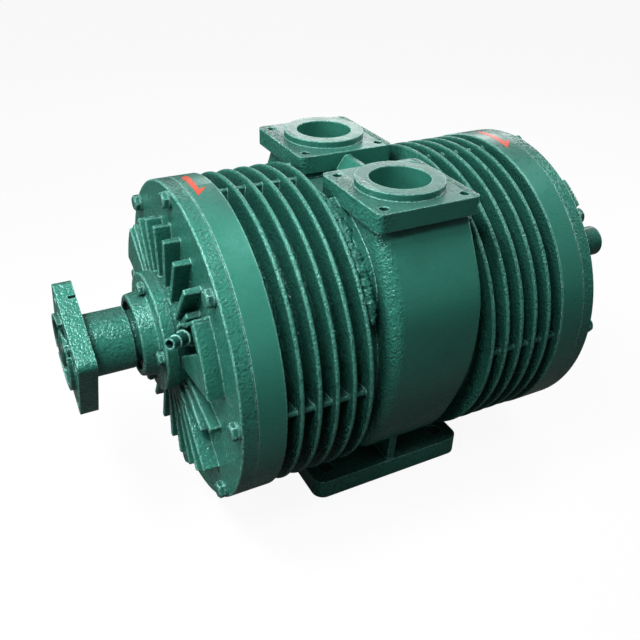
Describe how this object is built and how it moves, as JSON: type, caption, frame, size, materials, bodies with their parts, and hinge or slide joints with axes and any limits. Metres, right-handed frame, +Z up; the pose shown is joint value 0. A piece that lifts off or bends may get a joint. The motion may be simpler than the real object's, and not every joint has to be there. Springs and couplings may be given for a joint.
{
  "type": "rotary vane vacuum pump",
  "caption": "Air-cooled rotary sliding-vane vacuum pump with a finned cast cylinder on two feet, two square port flanges on top, ribbed end covers and a square drive flange.",
  "frame": {"origin": "centre of the foot bolt pattern, on the mounting face under the feet", "axes": "+X along the shaft, from the drive flange towards the closed end; +Z up through the ports; -Y towards the side with the oil nipple"},
  "size_m": [0.5991, 0.35, 0.372],
  "materials": {
    "enamel": "gloss enamel over cast iron",
    "fasteners": "gloss enamel over steel",
    "fittings": "worn enamel over steel",
    "gasket": "pressed fibre",
    "seal": "moulded",
    "bearing": "ground",
    "cage": "machined",
    "rotor_iron": "machined",
    "shaft_steel": "ground",
    "vane": "fibre laminate"
  },
  "bodies": {
    "housing": {"cylinder_casing": "enamel", "front_cover": "enamel", "rear_cover": "enamel", "front_bearing_cap": "enamel", "rear_bearing_cap": "enamel", "front_cover_gasket": "gasket", "rear_cover_gasket": "gasket", "front_cover_bolts": "fasteners", "rear_cover_bolts": "fasteners", "front_cover_washers": "fasteners", "rear_cover_washers": "fasteners", "front_cap_bolts": "fasteners", "rear_cap_bolts": "fasteners", "front_cap_washers": "fasteners", "rear_cap_washers": "fasteners", "front_oil_nipple": "fittings", "rear_oil_plug": "fittings", "front_shaft_seal": "seal", "front_inner_seal": "seal", "rear_inner_seal": "seal", "front_bearing_outer_ring": "bearing", "rear_bearing_outer_ring": "bearing"},
    "rotating_group": {"rotor": "rotor_iron", "rotor_shaft": "shaft_steel", "rear_lock_ring": "shaft_steel", "drive_flange": "enamel", "drive_key": "shaft_steel", "drive_nut": "fasteners", "drive_nut_washer": "fasteners", "front_bearing_inner_ring": "bearing", "rear_bearing_inner_ring": "bearing"},
    "front_roller_set": {"front_bearing_cage": "cage", "front_bearing_rollers": "bearing"},
    "rear_roller_set": {"rear_bearing_cage": "cage", "rear_bearing_rollers": "bearing"},
    "vane_body_1": {"vane_1": "vane"},
    "vane_body_2": {"vane_2": "vane"},
    "vane_body_3": {"vane_3": "vane"},
    "vane_body_4": {"vane_4": "vane"},
    "vane_body_5": {"vane_5": "vane"}
  },
  "joints": [
    {"name": "rotor_spin", "type": "hinge", "parent": "housing", "child": "rotating_group", "pos_m": [0, 0, 0.2095], "axis": [1, 0, 0], "continuous": true},
    {"name": "front_roller_spin", "type": "hinge", "parent": "housing", "child": "front_roller_set", "pos_m": [-0.2175, 0, 0.2095], "axis": [1, 0, 0], "continuous": true},
    {"name": "rear_roller_spin", "type": "hinge", "parent": "housing", "child": "rear_roller_set", "pos_m": [0.2175, 0, 0.2095], "axis": [1, 0, 0], "continuous": true},
    {"name": "vane_slide_1", "type": "slide", "parent": "rotating_group", "child": "vane_body_1", "axis": [0, -0.5878, 0.809], "range_m": [0, 0.0048]},
    {"name": "vane_slide_2", "type": "slide", "parent": "rotating_group", "child": "vane_body_2", "axis": [0, 0.5878, 0.809], "range_m": [0, 0.0048]},
    {"name": "vane_slide_3", "type": "slide", "parent": "rotating_group", "child": "vane_body_3", "axis": [0, 0.9511, -0.309], "range_m": [-0.0048, 0]},
    {"name": "vane_slide_4", "type": "slide", "parent": "rotating_group", "child": "vane_body_4", "axis": [0, 0, -1], "range_m": [-0.0048, 0]},
    {"name": "vane_slide_5", "type": "slide", "parent": "rotating_group", "child": "vane_body_5", "axis": [0, -0.9511, -0.309], "range_m": [-0.0048, 0]}
  ],
  "couplings": [
    {"joint": "front_roller_spin", "follows": "rotor_spin", "ratio": 0.43662},
    {"joint": "rear_roller_spin", "follows": "rotor_spin", "ratio": 0.43662}
  ]
}
